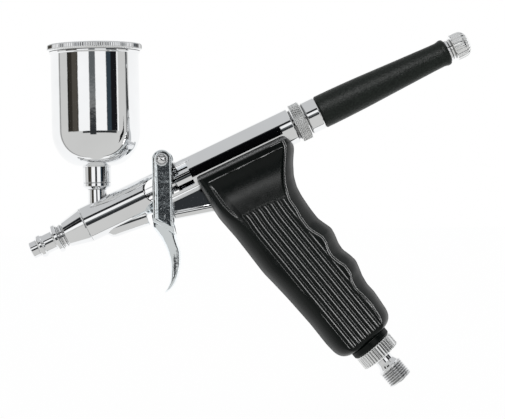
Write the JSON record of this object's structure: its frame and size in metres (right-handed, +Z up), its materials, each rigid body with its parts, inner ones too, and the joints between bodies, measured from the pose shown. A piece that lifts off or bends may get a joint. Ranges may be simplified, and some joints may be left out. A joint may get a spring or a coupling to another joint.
{
  "type": "airbrush gun",
  "caption": "Trigger airbrush gun: chrome barrel, vertical lidded paint cup, forked hook trigger, ribbed black pistol grip with a threaded hose joint, black tail handle with a stop knob.",
  "frame": {"origin": "middle of the hose joint's threaded stretch, on its axis", "axes": "+Z up along the paint cup's axis; the nose points to -X and the tail handle rises 24.5 degrees towards +X; the gun is symmetric about the plane Y = 0, with its near side at -Y"},
  "size_m": [0.1655, 0.035, 0.1311],
  "materials": {
    "chrome": "bright chrome plating on brass",
    "steel": "turned and ground steel",
    "spring_steel": "drawn spring wire",
    "brass": "turned brass",
    "ptfe": "white sealing plastic",
    "seal_rubber": "black rubber",
    "grip_plastic": "satin black moulded plastic with raised ribs",
    "handle_coat": "satin charcoal sleeve, fine mottling"
  },
  "bodies": {
    "gun": {"needle_cap": "chrome", "air_cap": "chrome", "nozzle": "steel", "head": "chrome", "head_seal": "ptfe", "barrel": "chrome", "cup_seal": "ptfe", "cup_lock_ring": "chrome", "cup": "chrome", "needle_packing": "ptfe", "packing_screw": "brass", "needle_spring": "spring_steel", "spring_case": "brass", "trigger_screw": "steel", "trigger_nut": "steel", "rear_collar": "chrome", "handle_core": "chrome", "handle": "handle_coat", "valve_casing": "chrome", "valve_seal": "seal_rubber", "valve_spring": "spring_steel", "valve_plug": "brass", "grip": "grip_plastic", "grip_tube": "brass", "grip_spacer": "grip_plastic", "grip_ring": "chrome", "hose_joint": "chrome", "joint_seal": "seal_rubber"},
    "trigger": {"trigger": "chrome"},
    "needle_train": {"needle": "steel", "needle_sleeve": "chrome", "chuck_nut": "brass"},
    "air_valve": {"valve_pin": "steel"},
    "lid": {"cup_lid": "chrome"},
    "lock_ring": {"lock_ring": "chrome"},
    "knob_carrier": {"knob_o_ring": "seal_rubber"},
    "stop_knob": {"stop_knob": "chrome"}
  },
  "joints": [
    {"name": "trigger_pull", "type": "hinge", "parent": "gun", "child": "trigger", "pos_m": [-0.08434, 0, 0.08031], "axis": [0, -1, 0], "range_deg": [0, 12]},
    {"name": "needle_slide", "type": "slide", "parent": "gun", "child": "needle_train", "axis": [0.91, 0, 0.4147], "range_m": [0, 0.00201], "stiffness_N_per_m": 120, "springref_m": -0.003, "deforming": ["needle_spring"]},
    {"name": "valve_slide", "type": "slide", "parent": "gun", "child": "air_valve", "axis": [0.9848, 0, 0.1736], "range_m": [0, 0.0044], "deforming": ["valve_spring"]},
    {"name": "lid_lift", "type": "slide", "parent": "gun", "child": "lid", "axis": [0, 0, 1], "range_m": [0, 0.03]},
    {"name": "lock_ring_turn", "type": "hinge", "parent": "gun", "child": "lock_ring", "pos_m": [-0.03343, 0, 0.09329], "axis": [0.91, 0, 0.4147], "range_deg": [-180, 180]},
    {"name": "knob_travel", "type": "slide", "parent": "gun", "child": "knob_carrier", "axis": [0.91, 0, 0.4147], "range_m": [0, 0.002]},
    {"name": "knob_turn", "type": "hinge", "parent": "knob_carrier", "child": "stop_knob", "pos_m": [0.01661, 0, 0.11609], "axis": [0.91, 0, 0.4147], "range_deg": [0, 1440]}
  ],
  "couplings": [
    {"joint": "trigger_pull", "follows": "needle_slide", "rad_per_m": 104.16},
    {"joint": "valve_slide", "follows": "needle_slide", "ratio": 2.1458},
    {"joint": "knob_turn", "follows": "knob_travel", "rad_per_m": 12566}
  ]
}
